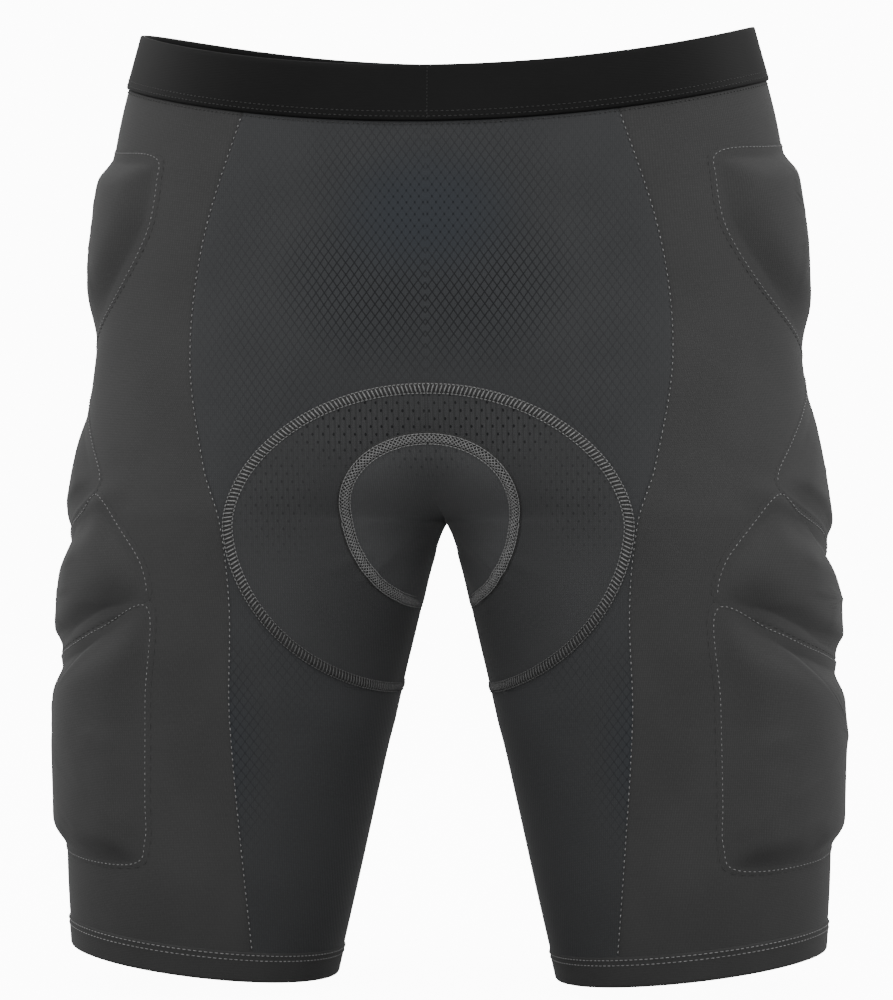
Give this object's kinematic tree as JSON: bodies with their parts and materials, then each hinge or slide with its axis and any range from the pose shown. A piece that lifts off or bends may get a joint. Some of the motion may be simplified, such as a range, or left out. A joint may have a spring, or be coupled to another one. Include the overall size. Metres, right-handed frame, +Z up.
{
  "type": "padded impact shorts",
  "caption": "Close-fitting padded shorts with foam pads at hip, thigh and tailbone under stitched covers, an elastic waistband and a seat pad; each leg bends at the hip.",
  "frame": {"origin": "centre of the waist opening, level with its highest points at the sides", "axes": "+Z up, -Y towards the wearer's front, +X towards the wearer's left"},
  "size_m": [0.4018, 0.2352, 0.4748],
  "materials": {
    "waist_elastic": "smooth black elastic",
    "smooth_knit": "matt grey stretch knit",
    "mesh_knit": "grey diamond mesh knit",
    "perforated_knit": "grey perforated knit",
    "hem_knit": "folded grey knit hem",
    "seat_pad_cloth": "brushed dark grey cloth",
    "foam": "matt closed-cell foam",
    "gripper": "soft silicone-dotted tape",
    "label": "blank woven label",
    "thread": "light grey sewing thread"
  },
  "bodies": {
    "hips": {"waistband": "waist_elastic", "waist_gripper": "gripper", "tailbone_pad_foam": "foam", "tailbone_pad_cover": "smooth_knit", "front_seat_pad_foam": "foam", "front_seat_pad_cover": "seat_pad_cloth", "care_label": "label", "front_panel_left": "mesh_knit", "front_panel_right": "mesh_knit", "side_panel_left": "smooth_knit", "side_panel_right": "smooth_knit", "seat_panel_left": "mesh_knit", "seat_panel_right": "mesh_knit", "crotch_panel_left": "perforated_knit", "crotch_panel_right": "perforated_knit", "gusset_left": "smooth_knit", "gusset_right": "smooth_knit", "hip_pad_foam_left": "foam", "hip_pad_foam_right": "foam", "hip_pad_cover_left": "smooth_knit", "hip_pad_cover_right": "smooth_knit", "flank_pad_foam_left": "foam", "flank_pad_foam_right": "foam", "flank_pad_cover_left": "smooth_knit", "flank_pad_cover_right": "smooth_knit", "upper_thigh_pad_foam_left": "foam", "upper_thigh_pad_foam_right": "foam", "upper_thigh_pad_cover_left": "smooth_knit", "upper_thigh_pad_cover_right": "smooth_knit", "seat_pad_foam_left": "foam", "seat_pad_foam_right": "foam", "seat_pad_cover_left": "seat_pad_cloth", "seat_pad_cover_right": "seat_pad_cloth"},
    "left_leg": {"lower_thigh_pad_foam_left": "foam", "lower_thigh_pad_cover_left": "smooth_knit", "thigh_front_panel_left": "mesh_knit", "thigh_side_panel_left": "smooth_knit", "thigh_back_panel_left": "mesh_knit", "hem_band_left": "hem_knit", "hem_gripper_left": "gripper"},
    "right_leg": {"lower_thigh_pad_foam_right": "foam", "lower_thigh_pad_cover_right": "smooth_knit", "thigh_front_panel_right": "mesh_knit", "thigh_side_panel_right": "smooth_knit", "thigh_back_panel_right": "mesh_knit", "hem_band_right": "hem_knit", "hem_gripper_right": "gripper"}
  },
  "joints": [
    {"name": "left_hip_flex", "type": "hinge", "parent": "hips", "child": "left_leg", "pos_m": [0.095, 0.008, -0.156], "axis": [-1, 0, 0], "range_deg": [-20, 90]},
    {"name": "right_hip_flex", "type": "hinge", "parent": "hips", "child": "right_leg", "pos_m": [-0.095, 0.008, -0.156], "axis": [-1, 0, 0], "range_deg": [-20, 90]}
  ]
}
